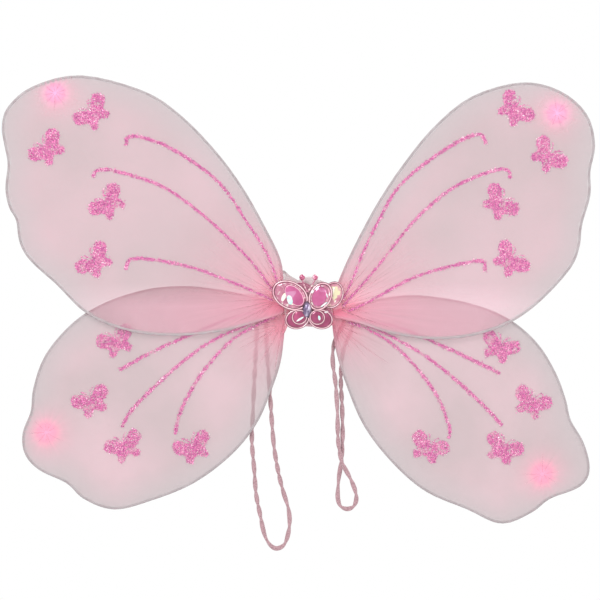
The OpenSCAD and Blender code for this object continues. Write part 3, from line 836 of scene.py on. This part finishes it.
def add_creases(side, level):
    """Fine raised folds that run out from the root and from the tip's tie, on both faces."""
    rng = np.random.default_rng(100 + WINGS.index((side, level)))
    root, rim = wing_rim(side, level)
    low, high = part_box(f"{side}_{level}_cover")
    tie = np.array(tie_place(side, level))[[0, 2]]
    out = SIDES[side]
    rim_angle = np.arctan2(rim[:, 1] - root[1], out * (rim[:, 0] - root[0]))
    rim_reach = np.linalg.norm(rim - root, axis=1)
    order = np.argsort(rim_angle)
    inner = rim_reach[order] > 25 * MM
    first, last = rim_angle[order][inner][0] + 0.03, rim_angle[order][inner][-1] - 0.03
    parts = []

    def crease(start, end, face_y, width, sign):
        bow = rng.uniform(-0.03, 0.03) * np.linalg.norm(end - start)
        way = (end - start) / np.linalg.norm(end - start)
        middle = (start + end) / 2 + bow * np.array([-way[1], way[0]])
        flat = spaced(smooth_curve([start, middle, end], 8), 1.5 * MM)
        line = np.stack([flat[:, 0], np.full(len(flat), face_y), flat[:, 1]], axis=1)
        taper = np.sin(np.linspace(0.25, 1, len(flat)) * math.pi) ** 0.7 + 0.03
        section = [(-width / 2, -0.02 * MM), (width / 2, -0.02 * MM),
                   (width / 5, 0.22 * width), (-width / 5, 0.22 * width)]
        if sign > 0:
            section = [(a, -b) for a, b in section][::-1]
        parts.append(sweep(line, section, size=taper))

    for face_y, sign in ((low[1], -1), (high[1], 1)):
        for k in range(ROOT_CREASES[level]):
            angle = first + (last - first) * (k + rng.uniform(0.1, 0.9)) / ROOT_CREASES[level]
            free = np.interp(angle, rim_angle[order], rim_reach[order]) - 6 * MM
            length = min(rng.uniform(24, 60) * MM, free)
            ray = np.array([out * math.cos(angle), math.sin(angle)])
            crease(root + 7 * MM * ray, root + length * ray, face_y, rng.uniform(0.5, 1.0) * MM, sign)
        for k in range(TIE_CREASES):
            angle = 2 * math.pi * (k + rng.uniform(0.1, 0.9)) / TIE_CREASES
            ray = np.array([math.cos(angle), math.sin(angle)])
            wanted, reach = rng.uniform(7, 18) * MM, 4 * MM
            while reach < wanted and np.linalg.norm(rim - (tie + reach * ray), axis=1).min() > 3 * MM:
                reach += 1 * MM
            crease(tie + 1.5 * MM * ray, tie + reach * ray, face_y, rng.uniform(0.3, 0.55) * MM, sign)
    points, faces = joined(parts)
    piece = turn_outwards(mesh_piece(f"{side}_{level}_creases", points, faces, CREASE))
    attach(piece, f"{side}_{level}_wing")


def add_tip_tie(side, level):
    """The end of the nylon tube, gathered into a cone behind the wing, bound with thread and puffed out."""
    node = f"{side}_{level}_tip_tie"
    low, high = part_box(node)
    middle = (low + high) / 2
    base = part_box(f"{side}_{level}_cover")[1][1] - 0.9 * MM
    rng = np.random.default_rng(200 + WINGS.index((side, level)))
    phase = rng.uniform(0, 2 * math.pi, 3)
    reach = high[1] - base
    profile = [(0.0, 8.5), (0.03, 6.2), (0.08, 4.4), (0.16, 3.0), (0.26, 2.1), (0.36, 1.75), (0.42, 1.7),
               (0.5, 2.0), (0.6, 2.7), (0.72, 3.1), (0.84, 2.9), (0.93, 2.1), (0.98, 1.1)]
    sides = 56
    points = []
    for share, radius in profile:
        for a in round_angles(sides):
            fold = 0.6 * math.sin(9 * a + phase[0]) + 0.4 * math.sin(14 * a + phase[1] + 3 * share)
            r = radius * (1 + (0.13 if share < 0.45 else 0.2) * fold) * MM
            lift = 0.12 * MM * fold * (share > 0.45)
            points.append((middle[0] + r * math.cos(a), base + share * reach + lift,
                           middle[2] + r * math.sin(a)))
    faces = grid_faces(len(profile), sides)
    points.append((middle[0], base + reach, middle[2]))
    last = (len(profile) - 1) * sides
    faces += [(last + k, last + (k + 1) % sides, len(points) - 1) for k in range(sides)]
    puff = mesh_piece(f"{side}_{level}_tie_puff", points, faces, TIE)
    thicken(puff, 0.2 * MM)
    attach(puff, f"{side}_{level}_wing")
    turns, steps = 5, 22
    spiral = []
    for k in range(turns * steps + 1):
        a = 2 * math.pi * k / steps
        spiral.append((middle[0] + 2.0 * MM * math.cos(a), base + (0.3 + 0.16 * k / (turns * steps)) * reach,
                       middle[2] + 2.0 * MM * math.sin(a)))
    points, faces = sweep(np.array(spiral), oval_section(0.5 * MM, 0.5 * MM, 8))
    thread = turn_outwards(mesh_piece(f"{side}_{level}_tie_thread", points, faces, THREAD))
    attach(thread, f"{side}_{level}_wing")
    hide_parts(node)


# ---------------------------------------------------------------- glitter

# Flakes for each square mm of a print, and how far they stray past its edge, in mm.
FLAKES_PER_MM2 = {"butterflies": 2.0, "veins": 2.2}
FLAKES_STRAY = {"butterflies": 0.6, "veins": 0.42}
FLAKES_SHARE = {"upper": 1.0, "lower": 0.85}
SPARSE_BELOW = {"upper": -0.42, "lower": -0.26}    # the noise level under which flakes are missing
FLAKE_RADIUS = (0.24, 0.5)
FLAKE_LIFT = (0.02, 0.3)


def front_triangles(node):
    """The triangles of a print's front face as an array of corners."""
    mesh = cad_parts[node].data
    mesh.calc_loop_triangles()
    co = np.array([v.co[:] for v in mesh.vertices])
    front = co[:, 1].min()
    corners = co[np.array([t.vertices[:] for t in mesh.loop_triangles])]
    return corners[np.abs(corners[:, :, 1] - front).max(axis=1) < 0.01 * MM]


def scattered(triangles, count, rng):
    """Points spread evenly over the triangles."""
    first, second = triangles[:, 1] - triangles[:, 0], triangles[:, 2] - triangles[:, 0]
    area = np.linalg.norm(np.cross(first, second), axis=1)
    chosen = triangles[rng.choice(len(area), count, p=area / area.sum())]
    a, b = rng.random((2, count, 1))
    over = a + b > 1
    a, b = np.where(over, 1 - a, a), np.where(over, 1 - b, b)
    return chosen[:, 0] + a * (chosen[:, 1] - chosen[:, 0]) + b * (chosen[:, 2] - chosen[:, 0]), area.sum()


def add_glitter(side, level):
    """Foil flakes on a wing's butterflies and veins, sparse in places as they are on the real print."""
    rng = np.random.default_rng(300 + WINGS.index((side, level)))
    points, faces, tones_and_sparkles = [], [], []
    for shape, per_mm2 in FLAKES_PER_MM2.items():
        triangles = front_triangles(f"{side}_{level}_{shape}")
        _, area = scattered(triangles, 1, rng)
        count = int(area / MM ** 2 * per_mm2 * FLAKES_SHARE[level])
        places, _ = scattered(triangles, count, rng)
        places[:, [0, 2]] += rng.normal(0, FLAKES_STRAY[shape] * MM, (count, 2))
        for place in places:
            thin = noise.noise(Vector(place) * 140) + 0.5 * noise.noise(Vector(place) * 420)
            if thin < SPARSE_BELOW[level]:
                continue
            radius = rng.uniform(*FLAKE_RADIUS) * MM
            spin = rng.uniform(0, math.pi)
            lean = rng.normal(0, 0.4)
            lean_way = rng.uniform(0, 2 * math.pi)
            lift = rng.uniform(*FLAKE_LIFT) * MM
            first = len(points)
            for k in range(6):
                a = spin + math.pi * k / 3
                x, z = radius * math.cos(a), radius * math.sin(a)
                tip = math.sin(lean) * (x * math.cos(lean_way) + z * math.sin(lean_way))
                points.append((place[0] + x, place[1] - lift + tip, place[2] + z))
            faces.append(tuple(range(first, first + 6)))
            # Each flake's colour; the pale end of it is painted sparkle.
            tones_and_sparkles.append(np.clip(rng.beta(1.6, 1.9) + 0.25 * thin, 0, 1))
    flakes = mesh_piece(f"{side}_{level}_flakes", points, faces, FLAKES, smooth=False)
    mark(flakes, "flake_tone_and_sparkle", tones_and_sparkles, "FACE")
    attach(flakes, f"{side}_{level}_wing")


for wing_side, wing_level in WINGS:
    add_creases(wing_side, wing_level)
    add_tip_tie(wing_side, wing_level)
    add_glitter(wing_side, wing_level)


# ---------------------------------------------------------------- centre

def add_centre_wrap():
    """The nylon strip wound round the bound wires, gathered where it comes out at each side."""
    low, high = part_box("centre_wrap")
    half_x = (high[0] - low[0]) / 2
    rng = np.random.default_rng(400)
    phase = rng.uniform(0, 2 * math.pi, 6)
    rows, columns = 52, 200
    points = []
    for i in range(rows):
        x = -half_x + 2 * half_x * i / (rows - 1)
        share = abs(x) / half_x
        bulge = math.sqrt(max(0, 1 - share ** 2.4))
        top = 6.5 * MM + (high[2] - 6.5 * MM) * bulge
        bottom = -5.5 * MM + (low[2] + 5.5 * MM) * bulge
        depth = 0.5 * (high[1] - low[1]) * (0.72 + 0.28 * bulge)
        middle_z, half_z = (top + bottom) / 2, (top - bottom) / 2
        middle_y = (high[1] + low[1]) / 2
        for a in round_angles(columns):
            fold = (0.5 * math.sin(23 * a + phase[0] + 1.2 * math.sin(3 * x / half_x + phase[3]))
                    + 0.35 * math.sin(37 * a + phase[1]) + 0.3 * math.sin(11 * a + phase[2] + 2 * x / half_x))
            squeeze = 1 - (0.035 + 0.05 * share) * (1 - fold)
            c, s = math.cos(a), math.sin(a)
            y = depth * math.copysign(abs(c) ** 0.75, c) * squeeze
            z = half_z * math.copysign(abs(s) ** 0.9, s) * squeeze
            points.append((x, middle_y - y, middle_z + z))
    wrap = mesh_piece("nylon_wrap", points, grid_faces(rows, columns), WRAP)
    thicken(wrap, 0.4 * MM)
    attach(wrap, "centre")
    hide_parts("centre_wrap")


NECK_INNER = 7             # mm from the middle, where the bunched nylon starts
NECK_OUTER = 22.5          # mm, where it ends
# Distance out, top, bottom and half depth of the bunched nylon, in mm. It comes out between the wings.
NECK = {
    "left": [(7, 25, -6, 2.5), (10, 27.5, -7, 2.7), (13.5, 29.5, -8.5, 2.0), (17, 32, -12, 1.1),
             (20, 35, -19, 1.0), (22.5, 36, -22, 0.8)],
    "right": [(7, 26, -6, 2.5), (10, 26.5, -7, 2.7), (13.5, 25, -8, 2.0), (17, 21.5, -9.5, 1.1),
              (20, 17, -13, 1.0), (22.5, 15, -16, 0.8)],
}


def add_neck(side):
    """The nylon of two wings where it is bunched and goes into the wrap, bending at the fold."""
    out = SIDES[side]
    rng = np.random.default_rng(500 + (out + 1))
    phase = rng.uniform(0, 2 * math.pi, 6)
    middle_y = (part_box(f"{side}_lower_cover")[0][1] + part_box(f"{side}_upper_cover")[1][1]) / 2
    shape = smooth_curve(NECK[side], 5)
    columns = 120
    points = []
    for reach, top, bottom, depth in shape:
        share = (reach - NECK_INNER) / 15
        for a in round_angles(columns):
            fold = (0.5 * math.sin(19 * a + phase[0]) + 0.35 * math.sin(31 * a + phase[1] + 2 * share)
                    + 0.3 * math.sin(9 * a + phase[2]))
            squeeze = 1 - 0.07 * (1 - fold)
            half, centre = (top - bottom) / 2, (top + bottom) / 2
            c, s = math.cos(a), math.sin(a)
            points.append((out * reach * MM, middle_y - depth * c * squeeze * MM,
                           (centre + half * s * squeeze) * MM))
    faces = grid_faces(len(shape), columns) + end_faces(columns, len(points))
    neck = turn_outwards(mesh_piece(f"{side}_root_gather", points, faces, GATHER))
    reach = np.array([abs(v.co.x) / MM for v in neck.data.vertices])
    mark(neck, "share_out", np.clip((reach - NECK_INNER) / (NECK_OUTER - NECK_INNER), 0, 1))
    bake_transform(neck)


def add_back_pad():
    """A felt oval with soft edges and an uneven face."""
    low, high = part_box("back_pad")
    middle = (low + high) / 2
    half_x, half_z = (high[0] - low[0]) / 2, (high[2] - low[2]) / 2
    profile = [(0.35, 0.0), (0.65, 0.0), (0.86, 0.0), (0.95, 0.06), (0.985, 0.2), (1.0, 0.5),
               (0.985, 0.8), (0.95, 0.94), (0.86, 1.0), (0.65, 1.0), (0.35, 1.0)]
    sides = 96
    points = []
    for grow, depth in profile:
        for a in round_angles(sides):
            x, z = middle[0] + half_x * grow * math.cos(a), middle[2] + half_z * grow * math.sin(a)
            rough = noise.noise(Vector((x, depth, z)) * 350) * 0.18 * MM
            y = high[1] - depth * (high[1] - low[1])
            points.append((x, y - abs(rough) if depth < 0.5 else y + abs(rough), z))
    faces = grid_faces(len(profile), sides) + end_faces(sides, len(points))
    pad = turn_outwards(mesh_piece("felt_pad", points, faces, FELT))
    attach(pad, "centre")
    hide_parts("back_pad")


add_centre_wrap()
for wing_side in SIDES:
    add_neck(wing_side)
add_back_pad()


# ---------------------------------------------------------------- jewels

# Lobes of the two jewel butterflies, as in the CAD: middle x and z, half length, half width, lean.
FRONT_UPPER = {"left": (-15.5, 13.3, 16, 11.5, -28), "right": (10, 12.3, 12.5, 9.3, 62)}
FRONT_LOWER = {"left": (-9.5, -6.8, 10.3, 8.2, 12), "right": (10.2, -6.8, 10.3, 8.2, -12)}
INNER_UPPER = {"left": (-12, 13, 10.6, 6.4, -50), "right": (9.2, 12.2, 8.4, 5.8, 68)}
INNER_LOWER = {"left": (-7.6, -5.2, 6.6, 6.2, 20), "right": (7.3, -5.4, 6.6, 6.2, -20)}
REAR = {"outer": (20.3, 13.5, 11.5, 8.8, 68), "inner": (-3, 14, 12, 9, -40),
        "low_outer": (13, -4.5, 8, 7, -10), "low_inner": (-1, -4.5, 8, 7, 10), "boss": (8, 4, 6, 6, 0)}
BODY = (-1.4, 1.0, 7.4, 3.9, 90)


def lobe_ring(lobe, scale, y, sides, turn=0.0):
    """One ring of points round a lobe, at a share of its size and a depth in mm."""
    middle_x, middle_z, half_length, half_width, lean = lobe
    lean = math.radians(lean)
    ring = []
    for a in round_angles(sides, turn):
        along, across = half_length * scale * math.cos(a), half_width * scale * math.sin(a)
        x = middle_x + along * math.cos(lean) - across * math.sin(lean)
        z = middle_z + along * math.sin(lean) + across * math.cos(lean)
        ring.append((x * MM, y * MM, z * MM))
    return ring


def loft(rings):
    """Points and faces through rings of the same count, closed at both ends."""
    sides = len(rings[0])
    points = [p for ring in rings for p in ring]
    return points, grid_faces(len(rings), sides) + end_faces(sides, len(points))


def facets(rings):
    """Points and triangles through rings that are each turned half a side from the one before."""
    sides = len(rings[0])
    points = [p for ring in rings for p in ring]
    faces = []
    for i in range(len(rings) - 1):
        for k in range(sides):
            m = (k + 1) % sides
            a, b = i * sides, (i + 1) * sides
            if i % 2 == 0:
                faces += [(a + k, a + m, b + k), (a + m, b + m, b + k)]
            else:
                faces += [(a + k, b + m, b + k), (a + k, a + m, b + m)]
    return points, faces + end_faces(sides, len(points))


def add_jewel_piece(name, parts, material, smooth=True):
    """One named piece of a jewel, made of several parts."""
    points, faces = joined(parts)
    piece = turn_outwards(mesh_piece(name, points, faces, material, smooth))
    if smooth:
        piece.data.set_sharp_from_angle(angle=math.radians(38))
    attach(piece, "centre")
    return piece


def rim_profile(lobe, back, front, rim):
    """A lobe's tray: a flat back, a rounded rim that stands over the front, and a floor inside it."""
    step = 1 / min(lobe[2], lobe[3])
    high = front - rim
    section = [(0.5, back), (0.1, back - 0.25), (0, back - 0.6), (0, high + 0.35), (0.12, high + 0.1),
               (0.4, high), (0.75, high + 0.12), (1.0, high + 0.4), (1.1, front)]
    return loft([lobe_ring(lobe, 1 - inset * step, y, 72) for inset, y in section])


def cut_gem(lobe, front, rise, scale=0.87, table=0.5, sides=18):
    """A faceted stone over a lobe: a low wall, a belt of facets, and a wide flat table."""
    belt = scale * (0.45 + 0.55 * table) / 0.95
    return facets([
        lobe_ring(lobe, scale, front, sides),
        lobe_ring(lobe, scale, front - 0.35 * rise, sides, 0.5),
        lobe_ring(lobe, belt, front - 0.72 * rise, sides),
        lobe_ring(lobe, scale * table, front - rise, sides, 0.5),
    ])


def rim_and_shade_bands(lobe, y, rim):
    """A lobe's pale raised rim and two dark bands along it: painted shade in the groove inside the rim, and a
    painted shadow outside it.
    """
    narrow = min(lobe[2], lobe[3])

    def band(inset, width, lift):
        ring = np.array(lobe_ring(lobe, 1 - inset / narrow, y - lift, 90))
        return sweep(ring, oval_section(width * MM, 0.7 * MM, 10), closed=True)

    return band(0.15 + rim / 2, rim, 0.1), band(-0.05, 0.5, -0.25), band(0.35 + rim, 0.5, -0.1)


def add_front_jewel():
    """The front butterfly: its setting, two layers of stones with pale rims, and the body stone."""
    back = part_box("front_jewel_plate")[1][1] / MM
    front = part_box("front_jewel_plate")[0][1] / MM
    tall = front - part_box("front_upper_domes")[0][1] / MM
    low_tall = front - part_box("front_lower_domes")[0][1] / MM
    level = front - tall * 0.5
    trays = [rim_profile(lobe, back, front, 0.9) for lobe in FRONT_UPPER.values()]
    trays += [rim_profile(lobe, back, front, 0.7) for lobe in FRONT_LOWER.values()]
    setting = add_jewel_piece("front_jewel_setting", trays, SETTING)
    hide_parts("front_jewel_plate")

    pearls = [cut_gem(FRONT_UPPER["left"], front, tall * 0.62, table=0.86, scale=0.88, sides=26),
              cut_gem(FRONT_UPPER["right"], front, tall * 0.62, table=0.84, scale=0.86, sides=24)]
    add_jewel_piece("front_pearl_bands", pearls, PEARL, smooth=False)
    gems = [cut_gem(lobe, level, tall * 0.5, scale=1.0, table=0.62, sides=16)
            for lobe in INNER_UPPER.values()]
    upper = add_jewel_piece("front_upper_gems", gems, GEM, smooth=False)
    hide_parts("front_upper_domes")
    stones = []
    for side, lobe in FRONT_LOWER.items():
        stones.append(cut_gem(lobe, front, low_tall * 0.55, scale=0.88, table=0.8, sides=22))
        stones.append(cut_gem(INNER_LOWER[side], front - low_tall * 0.4, low_tall * 0.6, scale=0.86,
                              table=0.55, sides=14))
    lower = add_jewel_piece("front_lower_gems", stones, LOWER_GEM, smooth=False)
    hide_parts("front_lower_domes")

    bands = [rim_and_shade_bands(lobe, front - 0.9, 1.0) for lobe in FRONT_UPPER.values()]
    bands += [rim_and_shade_bands(lobe, front - 0.9, 0.8) for lobe in FRONT_LOWER.values()]
    bands.append(rim_and_shade_bands(INNER_UPPER["left"], level - 0.25, 0.7))
    bands += [rim_and_shade_bands(lobe, front - low_tall * 0.7, 0.7) for lobe in INNER_LOWER.values()]
    shade_bands = [groove for _, *pair in bands for groove in pair]
    shade_bands.append(rim_and_shade_bands(INNER_UPPER["right"], level - 0.25, 0.5)[1])
    add_jewel_piece("front_pale_rims", [pale for pale, *_ in bands], RIM)
    # Dark bands of painted shade and painted shadow along the rims.
    add_jewel_piece("front_painted_shade_lines", shade_bands, SHADE_LINES)

    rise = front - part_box("body_gem")[0][1] / MM
    rings = ((0.82, 0, 0), (0.86, 0.45, 0.5), (0.62, 0.82, 0), (0.34, 1, 0.5))
    stone = facets([lobe_ring(BODY, scale, front - share * rise, 12, turn) for scale, share, turn in rings])
    gem = add_jewel_piece("body_stone", [stone], STONE, smooth=False)
    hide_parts("body_gem")
    collar = rim_profile(BODY, front, front - 0.35 * rise, 0.5)
    add_jewel_piece("body_collar", [collar], COLLAR)
    # Painted highlights on the front gems.
    add_jewel_piece("front_glints", glints(GLINTS, front), GLINT)
    add_jewel_piece("front_gold_glints", glints(GOLD_GLINTS, front), GOLD_GLINT)


# Painted highlights, built as small pale facets: middle x and z, half length, half width, lean, and height
# over the setting's face.
GLINTS = [
    (-15.7, 9.6, 4.2, 2.4, 100, 2.4), (-23.5, 21.6, 2.2, 0.55, 35, 1.3), (-20.6, 23.0, 1.2, 0.5, 10, 1.2),
    (-6.9, 14.0, 3.9, 0.45, -60, 1.5), (-5.9, 12.6, 3.2, 0.3, -62, 1.2), (-7.9, 5.6, 1.0, 0.5, 20, 1.2),
    (11.6, 20.6, 1.5, 0.9, 0, 1.3), (3.3, 16.2, 1.7, 1.1, 35, 1.3), (15.3, 13.6, 2.4, 0.5, -70, 1.7),
    (13.0, 5.4, 3.6, 0.7, 36, 1.6), (3.0, 8.4, 2.0, 0.6, -65, 1.2), (-7.2, -6.8, 3.6, 0.8, 32, 2.0),
    (-3.0, -11.6, 2.8, 0.5, 40, 0.9), (9.0, -5.8, 2.0, 1.0, -78, 2.0), (14.9, -0.8, 1.7, 1.0, 0, 0.9),
    (15.2, -10.8, 2.2, 0.6, 45, 0.8),
]
GOLD_GLINTS = [(-21.0, 11.6, 3.6, 1.5, 70, 1.8), (-14.0, 6.0, 1.6, 0.6, -20, 1.6)]
REAR_GLINTS = [
    (20.6, 16.2, 4.2, 1.5, 76, 1.0), (22.8, 9.0, 2.4, 0.7, 60, 0.8), (25.4, 14.0, 1.8, 0.6, 80, 0.7),
]


def glints(rows, front):
    """Painted highlights: small crowned facets of pale colour set into the gems' faces."""
    parts = []
    for middle_x, middle_z, half_length, half_width, lean, height in rows:
        lobe = (middle_x, middle_z, half_length, half_width, lean)
        top = front - height
        rings = ((1.0, top + 0.9), (1.0, top), (0.8, top - 0.16), (0.4, top - 0.24))
        parts.append(loft([lobe_ring(lobe, scale, y, 20) for scale, y in rings]))
    return parts


def add_rear_jewel():
    """The rear butterfly, of which only the outer upper lobe shows and has its gem and glints."""
    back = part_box("rear_jewel_plate")[1][1] / MM
    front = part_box("rear_jewel_domes")[1][1] / MM
    gem_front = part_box("rear_jewel_domes")[0][1] / MM
    trays = [rim_profile(REAR["outer"], back, front, 0.5)]
    pale, outside, inside = rim_and_shade_bands(REAR["outer"], front - 0.4, 0.7)
    for name in ("inner", "low_outer", "low_inner"):
        trays.append(rim_profile(REAR[name], back, front, 0.3))
    rings = ((0.95, back - 0.1), (1, back - 0.4), (1, front), (0.6, front - 0.2), (0.55, gem_front))
    trays.append(loft([lobe_ring(REAR["boss"], scale, y, 40) for scale, y in rings]))
    setting = add_jewel_piece("rear_jewel_setting", trays, SETTING)
    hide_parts("rear_jewel_plate")
    gem = add_jewel_piece("rear_gem", [cut_gem(REAR["outer"], front, front - gem_front, table=0.5, sides=20)],
                          REAR_GEM, smooth=False)
    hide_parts("rear_jewel_domes")
    add_jewel_piece("rear_pale_rim", [pale], RIM)
    # Dark bands of painted shade and painted shadow along the rim.
    add_jewel_piece("rear_painted_shade_lines", [outside, inside], SHADE_LINES)
    # Painted highlights on the rear gem.
    add_jewel_piece("rear_glints", glints(REAR_GLINTS, front), GOLD_GLINT)


def add_feelers():
    """Two beaded stalks with a cut bead on each."""
    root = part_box("antenna_stalks")
    y = (root[0][1] + root[1][1]) / 2
    beads, stalks = [], []
    for island in solids("antenna_beads"):
        middle = (island.min(axis=0) + island.max(axis=0)) / 2
        radius = (island[:, 0].max() - island[:, 0].min()) / 2
        rings = []
        for lift, share, turn in ((-0.98, 0.3, 0), (-0.6, 0.8, 0.5), (-0.12, 1, 0), (0.12, 1, 0.5),
                                  (0.6, 0.8, 0), (0.98, 0.3, 0.5)):
            rings.append([(middle[0] + radius * share * math.cos(a), middle[1] + radius * share * math.sin(a),
                           middle[2] + radius * lift) for a in round_angles(10, turn)])
        beads.append(facets(rings))
        start = np.array([-1 * MM, y, 16 * MM])
        bend = np.array([start[0] * 0.55 + middle[0] * 0.45, y, 20 * MM])
        path = spaced(smooth_curve([start, bend, middle - np.array([0, 0, radius * 0.8])], 10), 0.25 * MM)
        notch = 1 + 0.13 * np.sin(np.arange(len(path)) * 0.25 / 1.3 * 2 * math.pi)
        taper = np.linspace(0.95, 0.6, len(path)) * notch
        stalks.append(sweep(path, oval_section(1.7 * MM, 1.6 * MM, 14), size=taper))
    bead = add_jewel_piece("feeler_beads", beads, BEAD, smooth=False)
    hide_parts("antenna_beads")
    stalk = add_jewel_piece("feeler_stalks", stalks, PEARL)
    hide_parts("antenna_stalks")


add_front_jewel()
add_rear_jewel()
add_feelers()


# ---------------------------------------------------------------- CAD pieces that stay

def soften(node):
    """Rounds a CAD node's facets without changing its mesh."""
    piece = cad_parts[node]
    weld = piece.modifiers.new("weld", "WELD")
    weld.merge_threshold = 0.002 * MM
    finer = piece.modifiers.new("finer", "SUBSURF")
    finer.levels = 1
    finer.render_levels = 1


def finish_node(node, material):
    for material_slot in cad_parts[node].material_slots:
        material_slot.material = material


for wing_side, wing_level in WINGS:
    finish_node(f"{wing_side}_{wing_level}_wire", WIRE)
    soften(f"{wing_side}_{wing_level}_wire")
    finish_node(f"{wing_side}_{wing_level}_butterflies", PRINT)
    finish_node(f"{wing_side}_{wing_level}_veins", PRINT)
finish_node("wire_stems", WIRE)
finish_node("stem_binding", BINDING)
